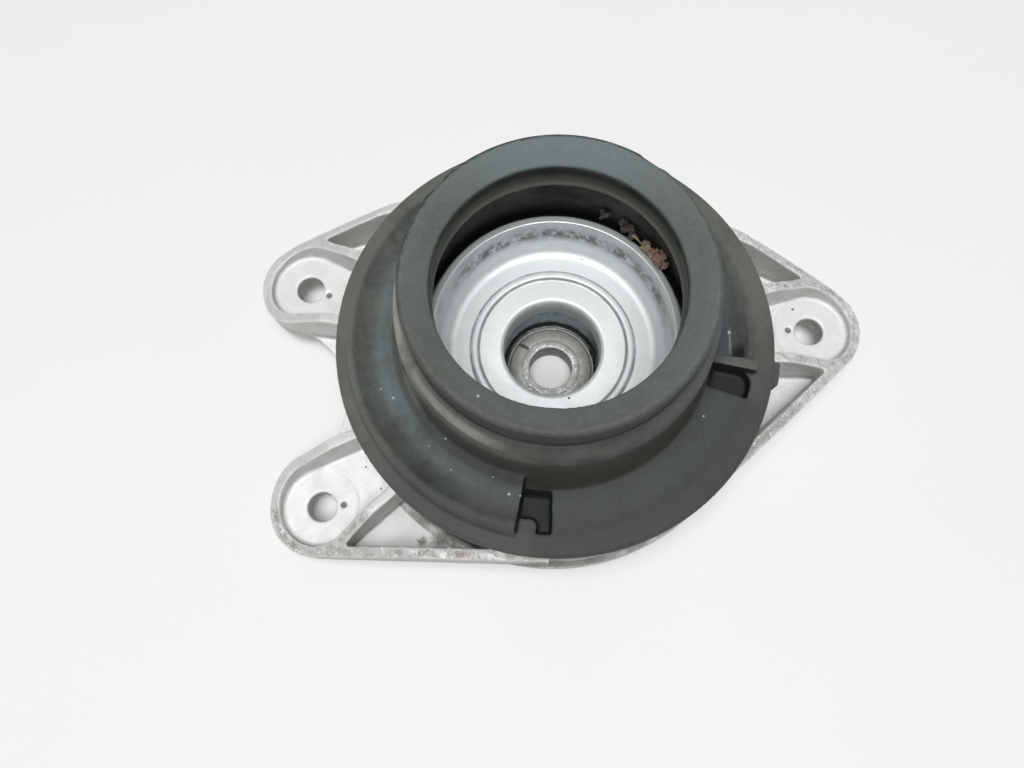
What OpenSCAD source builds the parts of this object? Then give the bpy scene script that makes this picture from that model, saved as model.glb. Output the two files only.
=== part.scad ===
// Strut mount with a cast bracket, a rubber spring pad, a bump stop cup and a bonded rod bush.
// Origin: on the strut axis, in the end face of the central boss. +Z points down the strut, to the spring.

/* [Bracket ears] */
// Radius of the circle through the three body holes
bolt_circle_r = 81.3; // [78:0.1:95]
// Diameter of each body hole
bolt_hole_d = 9; // [6:0.1:12]
// Outer radius of an ear round its hole
ear_r = 14.8; // [13:0.1:18]
// Width of the raised rim and of the ribs
rim_w = 3.1; // [2:0.1:5]
// How much an ear narrows on each side per millimetre towards the drum
ear_taper = 0.16; // [0:0.01:0.3]
// Direction of the single ear, in degrees from +X
single_ear_angle = 12.8; // [0:0.1:30]
// Half the angle between the two paired ears
pair_half_angle = 25.6; // [22:0.1:40]
// Thickness of an ear at its hole
ear_t = 6.4; // [4.5:0.1:9]
// Thickness of the webs between the ribs
web_t = 4; // [3:0.1:4.4]
// Radius of the scallop between the paired ears
scallop_r = 25.7; // [20:0.1:30]
// Width of the web left between the drum's foot and the scallop
scallop_web = 4.3; // [3:0.1:7]
// Height of the rim above the floor of an ear at its tip
rim_low_h = 2.2; // [1.5:0.1:5]
// Height of the gusset walls above the ear floor beside the drum
rim_high_h = 13; // [8:0.1:16]
// Distance over which the gusset walls slope down
rim_slope_run = 23; // [15:0.5:28]
// Radius of the spot face round each hole
spot_face_r = 11.2; // [8:0.1:11.5]
// Depth of the spot face
spot_face_depth = 0.3; // [0.1:0.1:1]
// Distance from a hole to the cast dimple beside it
dimple_offset = 6.4; // [5.8:0.1:9]
// Diameter of the cast dimple
dimple_d = 1.9; // [1:0.1:2.4]
// Depth of the cast dimple
dimple_depth = 0.8; // [0.4:0.1:1.5]
// Turn of each ear's dimple about its hole, from the direction of the strut axis
dimple_turns = [-12, 0, -27]; // [-45:1:45]

/* [Bracket drum] */
// Radius of the drum at its foot
drum_foot_r = 60; // [58.5:0.1:64]
// Radius of the drum at its top
drum_top_r = 58.4; // [57:0.1:59]
// Height of the drum's spring seat above the boss end
drum_top_z = 33; // [31:0.1:38]
// Wall of the drum and its webs
drum_wall = 4; // [3:0.1:5]
// Radius of the fillet at the foot of the drum
foot_fillet = 1.3; // [0.8:0.1:2]
// Width of the flange's edge outside that fillet
foot_rim_w = 0.4; // [0.2:0.1:1]
// Radius of the nest that holds the cup
nest_r = 38; // [36.6:0.1:40]
// Depth of the nest below the drum's spring seat
nest_depth = 6.6; // [5:0.1:8]
// Number of radial ribs under the drum
under_rib_count = 6; // [3:1:8]
// Thickness of a rib under the drum
under_rib_t = 3; // [2:0.1:4]
// How far those ribs end above the underside of the ears
under_rib_gap = 1.5; // [0.5:0.1:4]
// Distance that the boss stands out below the ears
boss_drop = 6; // [3:0.1:9]
// Wall of the boss round the bush
boss_wall = 4; // [3:0.1:6]
// Height of the lip that holds the bush in the boss
boss_lip_h = 2.6; // [2:0.1:4]
// Width of that lip
boss_lip_w = 4; // [2.5:0.1:5]

/* [Bump stop cup] */
// Thickness of the cup's sheet
cup_t = 1.6; // [1:0.1:2]
// Outer radius of the cup's rim
cup_rim_r = 35.3; // [34:0.1:35.6]
// Depth of the cup from its rim to its floor
cup_depth = 13.5; // [10:0.1:16]
// Width of the flat lip of the cup
cup_lip_w = 2.4; // [1.8:0.1:3]
// How much the wall leans in from the lip to the floor fillet
cup_draft = 1.4; // [0.8:0.1:2]
// Radius of the fillet between wall and floor
cup_fillet_r = 3.6; // [2.5:0.1:4.5]
// Outer radius of the bead pressed in the floor
bead_out_r = 24.1; // [22:0.1:25]
// Width of the bead
bead_w = 3.1; // [2.4:0.1:3.6]
// Height of the bead
bead_h = 0.9; // [0.4:0.1:1.5]
// Radius of the drawn hole in the floor
cup_hole_r = 14.15; // [13.2:0.05:14.6]
// Depth of the drawn edge below the floor
cup_neck_depth = 8; // [5:0.1:9]
// Radius of the bend at the drawn edge
cup_neck_bend = 1.3; // [0.8:0.1:2]

/* [Rod bush] */
// Diameter of the rod hole
rod_hole_d = 13.5; // [10:0.1:16]
// Outer radius of the steel core
core_r = 13.5; // [12:0.1:13.8]
// Thickness of the steel core
core_t = 8.3; // [6.5:0.1:9.5]
// Width of the worn seat round the rod hole
core_seat_w = 2.2; // [1:0.1:3]
// Height of that seat
core_seat_h = 0.4; // [0.2:0.1:0.8]
// Radius of the bush's bore in the boss
bush_r = 24; // [22.5:0.1:26]
// Wall of the bush's outer sleeve
shell_t = 1.4; // [1:0.1:2]
// Inner radius of the raised ring of rubber
rubber_ring_r = 16.2; // [16:0.1:18]
// Height of that ring above the boss end
rubber_ring_z = 17.6; // [14:0.1:17.8]
// Play of the sleeve in the boss
press_play = 0.05; // [0.02:0.01:0.1]
// Space between bonded faces
bond_gap = 0.02; // [0.01:0.01:0.05]

/* [Spring pad] */
// Outer radius of the pad
pad_r = 60.4; // [59.5:0.1:63]
// How much narrower the pad is at its underside
pad_draft = 0.7; // [0:0.1:1.2]
// Thickness of the pad at its edge
pad_t = 7.3; // [6:0.1:9]
// Thickness of the pad under the trough
trough_floor_t = 3.2; // [2.5:0.1:4]
// Inner radius of the spring's trough
trough_in_r = 42; // [41.5:0.1:44]
// Outer radius of the spring's trough
trough_out_r = 54.4; // [53:0.1:56]
// Radius of the edge rounding of the pad
pad_edge_r = 1.6; // [0.4:0.1:2]
// Outer radius of the collar halfway up
neck_r = 40.4; // [39.6:0.1:41.4]
// Outer radius of the collar at its foot
neck_foot_r = 44.2; // [42:0.1:44.8]
// Radius of the mouth in the collar
mouth_r = 29.9; // [28:0.1:31]
// Outer radius of the collar's lip
lip_r = 37.2; // [36:0.1:38.5]
// Height of the lip's inner edge above the spring seat of the drum
collar_h = 42; // [38:0.1:48]
// Height of the lip's crown above its inner edge
crown_h = 3.2; // [1.5:0.1:3.8]
// Height of the lip inside the mouth
mouth_lip_h = 8.6; // [6:0.1:10]
// Height of the lip outside
outer_lip_h = 4.6; // [3.5:0.1:6]
// Depth of the groove under the lip
lip_groove = 1.3; // [0.5:0.1:1.8]
// Height of that groove
lip_gap = 1.7; // [0.8:0.1:2.2]
// Depth of the hollow inside the mouth's lip
mouth_hollow = 0.7; // [0.2:0.1:1.2]
// Radius of the bore of the collar below its lip
collar_bore_r = 35.4; // [33:0.1:36]
// Gap between the cup's rim and the pad
cup_gap = 1.6; // [1:0.1:2]
// Direction of the spring stop, in degrees from +X
stop_angle = 354.8; // [345:0.1:358]
// Angle that the stop takes up
stop_span = 3.4; // [2.6:0.1:6]
// Height of the stop above the pad's edge
stop_h = 2.4; // [1.5:0.1:5]
// How far the stop reaches out beyond the trough
stop_reach = 0.9; // [0.3:0.1:1.1]
// Length of the helical channel, in degrees
channel_span = 269.7; // [240:0.1:276]
// Rise of the channel over its length
channel_rise = 8.4; // [5:0.1:11]
// Depth of the channel's hollow
channel_hollow = 2.4; // [1.5:0.1:3]
// Radius of the channel's outer edge at the stop
ridge_start_r = 51.6; // [49:0.1:53]
// Greatest radius of the ridge outside the channel
ridge_far_r = 54.4; // [53.5:0.1:55.5]
// Radius of that ridge at the step
ridge_end_r = 52.9; // [51:0.1:54.5]
// Angle of the pocket beside the stop
stop_pocket_span = 7.8; // [6:0.1:11]
// Rounding of that pocket's outer corner at the stop
pocket_round = 4.2; // [2:0.1:5]
// Angle of the pocket beside the step
step_pocket_span = 9.7; // [7:0.1:12]
// Radius of the rounded tip where the ridge ends in that pocket
ridge_tip_r = 2.1; // [1.5:0.1:2.6]
// How far the index tab stands out from the pad's edge
tab_h = 1.7; // [1:0.1:2.5]
// Angle that the index tab takes up
tab_span = 6; // [4:0.1:8]

/* [Hidden] */
$fn = 96;
cut = 0.5;
arc_steps = 5;
channel_steps = 66;

ear_angles = [0, 180 - pair_half_angle, 180 + pair_half_angle];
gusset_sides = [[1, -1], [-1], [1]];
ear_in_r = drum_foot_r - 2 * drum_wall;
ear_floor_z = boss_drop + ear_t;
web_z = boss_drop + web_t;
rim_low_z = ear_floor_z + rim_low_h;
rim_high_z = ear_floor_z + rim_high_h;
rim_far_r = bolt_circle_r + ear_r - rim_w;
rim_near_r = rim_far_r - rim_slope_run;
plan_reach = bolt_circle_r + 2 * ear_r;
scallop_x = drum_foot_r + scallop_web + scallop_r;
foot_r = drum_foot_r + foot_fillet + foot_rim_w;
gusset_r = drum_foot_r + foot_fillet / 2;

drum_in_foot_r = drum_foot_r - drum_wall;
drum_in_top_r = drum_top_r - drum_wall;
cup_seat_z = drum_top_z - nest_depth;
ledge_under_z = cup_seat_z - drum_wall;
nest_out_r = nest_r + drum_wall;
boss_r = bush_r + boss_wall;
seat_chamfer = 1;

cup_floor_z = cup_seat_z + cup_t;
cup_rim_z = cup_floor_z + cup_depth;
cup_wall_top_r = cup_rim_r - cup_lip_w;
cup_wall_low_r = cup_wall_top_r - cup_draft;
cup_edge_round = 0.6;

shell_r = bush_r - press_play;
shell_in_r = shell_r - shell_t;
shell_end_gap = 0.2;
rubber_low_z = boss_lip_h + bond_gap;
rubber_meniscus = 0.7;
rubber_fillet = 1.6;

pad_z = drum_top_z;
pad_edge_z = pad_z + pad_t;
trough_z = pad_z + trough_floor_t;
mouth_z = pad_z + collar_h;
crown_z = mouth_z + crown_h;
lip_low_z = mouth_z - outer_lip_h;
neck_bulge_h = 9;
neck_fillet = 1.5;
neck_flare_h = 17;
neck_steps = 6;
lip_round = 1.2;
neck_top_out = 0.8;
pad_in_r = cup_rim_r + cup_gap;
bore_flare_z = cup_rim_z + cup_gap;
full_turn = 360;
channel_start = stop_angle;
low_seat_start = channel_start + channel_span - full_turn + step_pocket_span;
low_seat_span = stop_angle - stop_span / 2 - stop_pocket_span - low_seat_start;
channel_root_r = (neck_r + pad_in_r) / 2;
ridge_w = 1.2;
ridge_slope = 0.18;
ridge_peak = 0.6;
ridge_stand = 0.15;
corner_bite = 0.3;
ridge_tip_lead = 3.4;

// Points of an arc about c, from angle a to angle b
function arc(c, r, a, b) =
    [for (i = [0 : arc_steps]) let (t = a + (b - a) * i / arc_steps) c + r * [cos(t), sin(t)]];

// Two triangles over points a and b and the points that follow them by step
function quad(a, b, step) = [[a, b + step, b], [a, a + step, b + step]];

// Sheet of thickness t laid on the right-hand side of a path
function unit(v) = v / norm(v);
function right_of(v) = [v[1], -v[0]];
function path_step(p, i) = unit(p[i + 1] - p[i]);
function mitre(p, i) =
    let (last = len(p) - 1)
    let (a = right_of(path_step(p, max(i - 1, 0))))
    let (b = right_of(path_step(p, min(i, last - 1))))
    let (n = unit(a + b))
    n / (n * b);
function sheet(p, t) = concat(p, [for (i = [len(p) - 1 : -1 : 0]) p[i] + t * mitre(p, i)]);

// Outline of one ear that points along +X, shrunk by inset
module ear_plan(inset = 0) {
    r = ear_r - inset;
    root = r - ear_taper * (bolt_circle_r - ear_in_r);
    translate([bolt_circle_r, 0]) circle(r);
    polygon([[bolt_circle_r, r], [ear_in_r, root], [ear_in_r, -root], [bolt_circle_r, -r]]);
}

// Gusset between an ear and the drum, bounded by their common tangent, on side 1 or -1
module gusset_plan(side, inset = 0) {
    hole = [bolt_circle_r, 0];
    a = side * acos((gusset_r - ear_r) / bolt_circle_r);
    normal = [cos(a), sin(a)];
    polygon([[0, 0], (gusset_r - inset) * normal, hole + (ear_r - inset) * normal, hole]);
}

module each_ear() {
    for (i = [0 : len(ear_angles) - 1])
        rotate(ear_angles[i]) {
            $sides = gusset_sides[i];
            $dimple_turn = dimple_turns[i];
            children();
        }
}

module ears_plan() {
    each_ear() {
        ear_plan();
        for (side = $sides) gusset_plan(side);
    }
}

// Web between the paired ears, hollowed by a scallop
module pair_web_plan() {
    difference() {
        polygon([[0, 0], for (i = [1, 2]) bolt_circle_r * [cos(ear_angles[i]), sin(ear_angles[i])]]);
        translate([-scallop_x, 0]) circle(scallop_r);
    }
}

// Rims and ribs that stand on the flange
module wall_plan() {
    difference() {
        ears_plan();
        each_ear() {
            ear_plan(rim_w);
            for (side = $sides)
                difference() {
                    gusset_plan(side, rim_w);
                    ear_plan();
                }
        }
        circle(drum_in_foot_r);
    }
}

module drum_section() {
    polygon(concat(
        [[boss_r, 0], [boss_r, ledge_under_z], [nest_out_r, ledge_under_z]],
        [[nest_out_r, drum_top_z - drum_wall], [drum_in_top_r, drum_top_z - drum_wall]],
        [[drum_in_foot_r, boss_drop], [drum_foot_r, boss_drop]],
        arc([drum_foot_r + foot_fillet, web_z + foot_fillet], foot_fillet, 270, 180),
        [[drum_top_r, drum_top_z - seat_chamfer], [drum_top_r - seat_chamfer, drum_top_z]],
        [[nest_r, drum_top_z], [nest_r, cup_seat_z], [bush_r, cup_seat_z]],
        [[bush_r, boss_lip_h], [bush_r - boss_lip_w, boss_lip_h], [bush_r - boss_lip_w, 0]]
    ));
}

module under_ribs() {
    from_r = boss_r - boss_wall / 2;
    to_r = drum_in_foot_r + drum_wall / 2;
    from_z = boss_drop + under_rib_gap;
    for (i = [0 : under_rib_count - 1])
        rotate(180 + i * full_turn / under_rib_count)
            translate([from_r, -under_rib_t / 2, from_z])
                cube([to_r - from_r, under_rib_t, ledge_under_z - from_z + cut]);
}

// Space under the rims: low at the tips of the ears, high beside the drum
module rim_envelope() {
    rotate_extrude()
        polygon([
            [0, boss_drop], [0, rim_high_z], [rim_near_r, rim_high_z],
            [rim_far_r, rim_low_z], [plan_reach, rim_low_z], [plan_reach, boss_drop]
        ]);
}

module ear_cuts() {
    translate([bolt_circle_r, 0, boss_drop - cut]) cylinder(d = bolt_hole_d, h = ear_t + 2 * cut);
    translate([bolt_circle_r, 0, ear_floor_z - spot_face_depth]) cylinder(r = spot_face_r, h = ear_t);
    translate([bolt_circle_r, 0, ear_floor_z - spot_face_depth - dimple_depth])
        rotate($dimple_turn)
            translate([-dimple_offset, 0, 0]) cylinder(d = dimple_d, h = ear_t);
}

module bracket() {
    color("silver")
        rotate(single_ear_angle)
            difference() {
                union() {
                    rotate_extrude() drum_section();
                    under_ribs();
                    translate([0, 0, boss_drop])
                        linear_extrude(web_t)
                            difference() {
                                union() {
                                    circle(foot_r);
                                    ears_plan();
                                    pair_web_plan();
                                }
                                circle(drum_in_foot_r);
                            }
                    translate([0, 0, boss_drop])
                        linear_extrude(ear_t)
                            difference() {
                                each_ear() ear_plan();
                                circle(drum_in_foot_r);
                            }
                    intersection() {
                        translate([0, 0, boss_drop]) linear_extrude(drum_top_z) wall_plan();
                        rim_envelope();
                    }
                }
                each_ear() ear_cuts();
            }
}

module bush_shell() {
    h = cup_seat_z - boss_lip_h - shell_end_gap;
    color("gray")
        translate([0, 0, boss_lip_h])
            difference() {
                cylinder(r = shell_r, h = h);
                translate([0, 0, -cut]) cylinder(r = shell_in_r, h = h + 2 * cut);
            }
}

module bush_rubber() {
    in_r = core_r + bond_gap;
    out_r = shell_in_r - bond_gap;
    top_z = core_t - rubber_meniscus;
    color("#1c1d1e")
        rotate_extrude()
            polygon(concat(
                [[in_r, rubber_low_z], [out_r, rubber_low_z], [out_r, rubber_ring_z - rubber_meniscus]],
                arc([rubber_ring_r + rubber_fillet, rubber_ring_z - rubber_fillet], rubber_fillet, 90, 180),
                arc([rubber_ring_r - rubber_fillet, top_z + rubber_fillet], rubber_fillet, 360, 270),
                [[in_r, top_z]]
            ));
}

module bush_core() {
    seat_r = rod_hole_d / 2 + core_seat_w;
    color("#a9aaa8")
        difference() {
            union() {
                cylinder(r = core_r, h = core_t - core_seat_h);
                cylinder(r = seat_r, h = core_t);
            }
            translate([0, 0, -cut]) cylinder(d = rod_hole_d, h = core_t + 2 * cut);
        }
}

module bump_stop_cup() {
    bead_in_r = bead_out_r - bead_w;
    bead_slope = bead_w / 4;
    bend_z = cup_floor_z - cup_neck_bend;
    path = concat(
        arc([cup_rim_r - cup_edge_round, cup_rim_z - cup_edge_round], cup_edge_round, 0, 90),
        arc([cup_wall_top_r + cup_edge_round, cup_rim_z - cup_edge_round], cup_edge_round, 90, 180),
        arc([cup_wall_low_r - cup_fillet_r, cup_floor_z + cup_fillet_r], cup_fillet_r, 0, -90),
        [[bead_out_r, cup_floor_z], [bead_out_r - bead_slope, cup_floor_z + bead_h]],
        [[bead_in_r + bead_slope, cup_floor_z + bead_h], [bead_in_r, cup_floor_z]],
        arc([cup_hole_r + cup_neck_bend, bend_z], cup_neck_bend, 90, 180),
        [[cup_hole_r, cup_floor_z - cup_neck_depth]]
    );
    color("#d3d6d8") rotate_extrude() polygon(sheet(path, -cup_t));
}

// Outer side of the collar, flared towards its foot, from the trough up
function neck_side() =
    let (foot_z = trough_z + neck_fillet)
    [for (i = [0 : neck_steps])
        let (t = i / neck_steps)
        [neck_r + (neck_foot_r - neck_r) * pow(1 - t, 2), foot_z + neck_flare_h * t]];

// Revolved body of the pad: edge, trough, collar with its lip, and the bore round the cup
module pad_section() {
    crown_r = (mouth_r + lip_r) / 2;
    mouth_low_z = mouth_z - mouth_lip_h;
    polygon(concat(
        [[nest_r, pad_z], [pad_r - pad_draft, pad_z]],
        arc([pad_r - pad_edge_r, pad_edge_z - pad_edge_r], pad_edge_r, 0, 90),
        [[trough_out_r, pad_edge_z], [trough_out_r, trough_z]],
        arc([neck_foot_r + neck_fillet, trough_z + neck_fillet], neck_fillet, 270, 190),
        neck_side(),
        [[neck_r, lip_low_z - neck_bulge_h], [neck_r - lip_groove / 2, lip_low_z - neck_bulge_h / 2]],
        [[lip_r + neck_top_out, lip_low_z - lip_gap], [lip_r - lip_groove, lip_low_z - lip_gap / 2]],
        [[lip_r - lip_groove, lip_low_z], [lip_r, lip_low_z]],
        arc([lip_r - lip_round, crown_z - lip_round], lip_round, 0, 90),
        [[crown_r, mouth_z + crown_h * 2 / 3], [mouth_r, mouth_z]],
        [[mouth_r + mouth_hollow, mouth_z - mouth_lip_h / 4]],
        [[mouth_r + mouth_hollow, mouth_low_z + mouth_lip_h / 4], [mouth_r, mouth_low_z]],
        [[collar_bore_r, mouth_low_z - (collar_bore_r - mouth_r) / 2]],
        [[pad_in_r, bore_flare_z], [pad_in_r, pad_edge_z]]
    ));
}

// Sector of the pad between two radii, from the trough's floor up to z
module pad_sector(from_angle, span, in_r, out_r, z) {
    rotate(from_angle)
        rotate_extrude(angle = span)
            translate([in_r, trough_z - cut]) square([out_r - in_r, z - trough_z + cut]);
}

// Radius of the channel's outer edge at share t of its length
function ridge_radius(t) =
    t < ridge_peak
        ? ridge_start_r + (ridge_far_r - ridge_start_r) * sin(90 * t / ridge_peak)
        : ridge_far_r - (ridge_far_r - ridge_end_r) * pow((t - ridge_peak) / (1 - ridge_peak), 2);

// Top of the helical channel at share t of its length, as [radius, height] pairs from the collar outwards
function channel_top(t) =
    let (floor_z = trough_z + cut + channel_rise * t)
    let (top_z = floor_z + channel_hollow)
    let (ridge_r = ridge_radius(t))
    let (ridge_z = max(top_z, pad_edge_z + ridge_stand))
    let (hollow_r = (trough_in_r + ridge_r) / 2)
    let (half = (ridge_r - trough_in_r) / 2)
    let (crest_r = max(ridge_r + ridge_w, trough_out_r) + ridge_w / 2)
    let (foot_r = crest_r + max(ridge_w / 2, ridge_slope * (ridge_z - pad_edge_z)))
    concat(
        [[channel_root_r, top_z + channel_hollow / 2]],
        [for (s = [-1 : 0.25 : 1]) [hollow_r + half * s, floor_z + channel_hollow * s * s]],
        [[ridge_r + ridge_w, ridge_z], [crest_r, ridge_z], [foot_r, pad_edge_z - cut]]
    );

// Channel swept round the axis: each ring has its top points first and their feet on the trough's floor after
module helical_channel() {
    rings = [for (i = [0 : channel_steps]) channel_top(i / channel_steps)];
    m = len(rings[0]);
    n = 2 * m;
    points = [
        for (i = [0 : channel_steps])
            let (a = channel_start + channel_span * i / channel_steps)
            let (feet = [for (p = rings[i]) [p[0], trough_z - cut]])
            for (p = concat(rings[i], feet)) [p[0] * cos(a), p[0] * sin(a), p[1]]
    ];
    top = [for (i = [0 : channel_steps - 1], j = [0 : m - 2]) each quad(i * n + j, i * n + j + 1, n)];
    floor = [for (i = [0 : channel_steps - 1], j = [m : n - 2]) each quad(i * n + j + 1, i * n + j, n)];
    inner = [for (i = [0 : channel_steps - 1]) each quad(i * n + m, i * n, n)];
    outer = [for (i = [0 : channel_steps - 1]) each quad(i * n + m - 1, i * n + n - 1, n)];
    start_cap = [for (j = [0 : m - 2]) each quad(j + 1, j, m)];
    last = channel_steps * n;
    end_cap = [for (j = [0 : m - 2]) each quad(last + j, last + j + 1, m)];
    polyhedron(points, concat(top, floor, inner, outer, start_cap, end_cap));
}

// Filling that rounds the outer corner of the pocket beside the stop
module pocket_corner(at_angle) {
    rotate(at_angle)
        translate([trough_out_r - pocket_round, -pocket_round, trough_z - cut])
            linear_extrude(pad_edge_z - trough_z + cut)
                difference() {
                    square(pocket_round + ridge_w / 2);
                    translate([0, corner_bite]) circle(pocket_round);
                }
}

// Rounded tip of the ridge in the pocket beside the step
module ridge_tip(step_angle) {
    mid_r = trough_out_r - ridge_tip_r + ridge_w / 2;
    half = ridge_tip_r - corner_bite / 2;
    pad_sector(step_angle - ridge_tip_lead, 2 * ridge_tip_lead, mid_r - half, mid_r + half, pad_edge_z);
    rotate(step_angle + ridge_tip_lead)
        translate([mid_r, 0, trough_z - cut])
            cylinder(r = ridge_tip_r, h = pad_edge_z - trough_z + cut);
}

module spring_pad() {
    root = channel_root_r;
    stop_start = stop_angle - stop_span / 2;
    color("#3a3d3e")
        union() {
            rotate_extrude() pad_section();
            helical_channel();
            pad_sector(low_seat_start, low_seat_span, root, trough_out_r + ridge_w, pad_edge_z);
            pad_sector(stop_start, stop_span, root, trough_out_r + stop_reach, pad_edge_z + stop_h);
            pocket_corner(stop_start);
            ridge_tip(channel_start + channel_span);
            rotate(stop_angle - tab_span / 2)
                rotate_extrude(angle = tab_span)
                    translate([pad_r - pad_edge_r - tab_h, pad_z])
                        square([pad_edge_r + 2 * tab_h, pad_t - pad_edge_r]);
        }
}

bracket();
bush_shell();
bush_rubber();
bush_core();
bump_stop_cup();
spring_pad();
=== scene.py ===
import math
from types import SimpleNamespace

import bmesh
import bpy
from mathutils import Matrix, Vector, noise


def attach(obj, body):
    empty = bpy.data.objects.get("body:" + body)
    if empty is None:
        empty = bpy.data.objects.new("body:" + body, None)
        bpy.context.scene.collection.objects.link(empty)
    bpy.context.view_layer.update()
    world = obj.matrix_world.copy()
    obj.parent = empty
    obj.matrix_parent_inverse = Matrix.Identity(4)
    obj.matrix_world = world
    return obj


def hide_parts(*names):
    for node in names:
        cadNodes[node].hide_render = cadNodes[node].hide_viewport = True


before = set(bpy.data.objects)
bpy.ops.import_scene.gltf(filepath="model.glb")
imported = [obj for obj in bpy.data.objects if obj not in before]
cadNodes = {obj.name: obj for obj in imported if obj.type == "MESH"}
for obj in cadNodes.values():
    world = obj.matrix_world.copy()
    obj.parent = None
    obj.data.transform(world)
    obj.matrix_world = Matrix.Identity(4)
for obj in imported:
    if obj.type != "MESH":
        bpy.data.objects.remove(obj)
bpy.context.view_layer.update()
scene = bpy.context.scene
mm = 0.001
fullTurn = 360.0  # degrees
weldGap = 0.002 * mm  # corners closer than this are one
print("frame loaded:", len(cadNodes), "nodes")


# small helpers for meshes

def millimetres(*place):
    return Vector(place) * mm


def arcPoints(middle, radius, fromDeg, toDeg, steps):
    turns = [math.radians(fromDeg + (toDeg - fromDeg) * i / steps) for i in range(steps + 1)]
    return [(middle[0] + radius * math.cos(t), middle[1] + radius * math.sin(t)) for t in turns]


def smoothStep(low, high, value):
    t = min(max((value - low) / (high - low), 0.0), 1.0)
    return t * t * (3 - 2 * t)


def angleGap(a, b):  # signed gap between two angles in degrees
    return (a - b + fullTurn / 2) % fullTurn - fullTurn / 2


def ringPlace(co):  # radius and height in millimetres, angle in degrees
    angle = math.degrees(math.atan2(co.y, co.x)) % fullTurn
    return math.hypot(co.x, co.y) / mm, co.z / mm, angle


def finishPiece(name, bm, material, replaced=()):
    mesh = bpy.data.meshes.new(name)
    bm.to_mesh(mesh)
    bm.free()
    return addPiece(name, mesh, material, replaced)


def addPiece(name, mesh, material, replaced=()):
    mesh.polygons.foreach_set("use_smooth", [True] * len(mesh.polygons))
    mesh.materials.clear()
    mesh.materials.append(material)
    piece = bpy.data.objects.new(name, mesh)
    scene.collection.objects.link(piece)
    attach(piece, "root")
    if replaced:
        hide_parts(*replaced)
    print("piece", name, len(mesh.polygons), "faces")
    return piece


def spinProfile(bm, points, steps, closed):  # points are radius and height in millimetres
    verts = [bm.verts.new(millimetres(r, 0, z)) for r, z in points]
    pairs = list(zip(verts, verts[1:] + verts[:1] if closed else verts[1:]))
    edges = [bm.edges.new(pair) for pair in pairs]
    bmesh.ops.spin(bm, geom=verts + edges, cent=(0, 0, 0), axis=(0, 0, 1), angle=math.tau,
                   steps=steps, use_merge=True)
    bmesh.ops.remove_doubles(bm, verts=bm.verts, dist=weldGap / 2)
    bmesh.ops.recalc_face_normals(bm, faces=bm.faces)


def roundedCopy(name, node, settings, prepare=None):  # CAD copy with its edges rounded as moulded or cast
    bm = bmesh.new()
    bm.from_mesh(cadNodes[node].data)
    bmesh.ops.remove_doubles(bm, verts=bm.verts, dist=weldGap)
    if prepare:
        prepare(bm)
    mesh = bpy.data.meshes.new(name + "Rough")
    bm.to_mesh(mesh)
    bm.free()
    rough = bpy.data.objects.new(name + "Rough", mesh)
    scene.collection.objects.link(rough)
    remesh = rough.modifiers.new("remesh", "REMESH")
    remesh.mode = "VOXEL"
    remesh.voxel_size = settings["voxel"] * mm
    soften = rough.modifiers.new("soften", "SMOOTH")
    soften.factor = settings["softFactor"]
    soften.iterations = settings["softPasses"]
    thin = rough.modifiers.new("thin", "DECIMATE")
    thin.ratio = settings["keepShare"]
    depsgraph = bpy.context.evaluated_depsgraph_get()
    made = bpy.data.meshes.new_from_object(rough.evaluated_get(depsgraph))
    bpy.data.objects.remove(rough)
    bpy.data.meshes.remove(mesh)
    made.name = name
    return made


# small helpers for shader trees

def place(tree, kind, settings=None, inputs=None):
    made = tree.nodes.new(kind)
    for key, value in (settings or {}).items():
        setattr(made, key, value)
    for key, value in (inputs or {}).items():
        if isinstance(value, bpy.types.NodeSocket):
            tree.links.new(value, made.inputs[key])
        else:
            made.inputs[key].default_value = value
    return made


def calc(tree, operation, a, b=0.0, clamp=False):
    settings = {"operation": operation, "use_clamp": clamp}
    return place(tree, "ShaderNodeMath", settings, {0: a, 1: b}).outputs[0]


def remap(tree, value, low, high, toLow=0.0, toHigh=1.0):
    settings = {"interpolation_type": "SMOOTHSTEP"}
    inputs = {"Value": value, "From Min": low, "From Max": high, "To Min": toLow, "To Max": toHigh}
    return place(tree, "ShaderNodeMapRange", settings, inputs).outputs["Result"]


def tint(tree, factor, a, b):
    return place(tree, "ShaderNodeMix", {"data_type": "RGBA"}, {0: factor, 6: a, 7: b}).outputs[2]


def cloud(tree, where, scale, detail=3.0, roughness=0.55, distortion=0.0):
    inputs = {"Vector": where, "Scale": scale, "Detail": detail, "Roughness": roughness,
              "Distortion": distortion}
    return place(tree, "ShaderNodeTexNoise", None, inputs).outputs["Fac"]


def rgb(r, g, b):
    return (r, g, b, 1.0)


def newGroup(name, inputs, outputs):
    group = bpy.data.node_groups.new(name, "ShaderNodeTree")
    for socketName, kind, value in inputs:
        made = group.interface.new_socket(socketName, in_out="INPUT", socket_type=kind)
        if value is not None:
            made.default_value = value
    for socketName, kind in outputs:
        group.interface.new_socket(socketName, in_out="OUTPUT", socket_type=kind)
    return group, group.nodes.new("NodeGroupInput"), group.nodes.new("NodeGroupOutput")


def useGroup(tree, group, **values):
    return place(tree, "ShaderNodeGroup", {"node_tree": group}, values)


def newMaterial(name, **sockets):
    material = bpy.data.materials.new(name)
    material.use_nodes = True
    tree = material.node_tree
    shader = tree.nodes["Principled BSDF"]
    for key, value in sockets.items():
        shader.inputs[key].default_value = value
    return material, tree, shader


# shared effects

effectShape = {"speckCore": 0.6, "relief": (4.0, 0.6), "smudge": (5.0, 0.62, 0.4), "spotEdge": (0.9, 3.0)}


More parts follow.
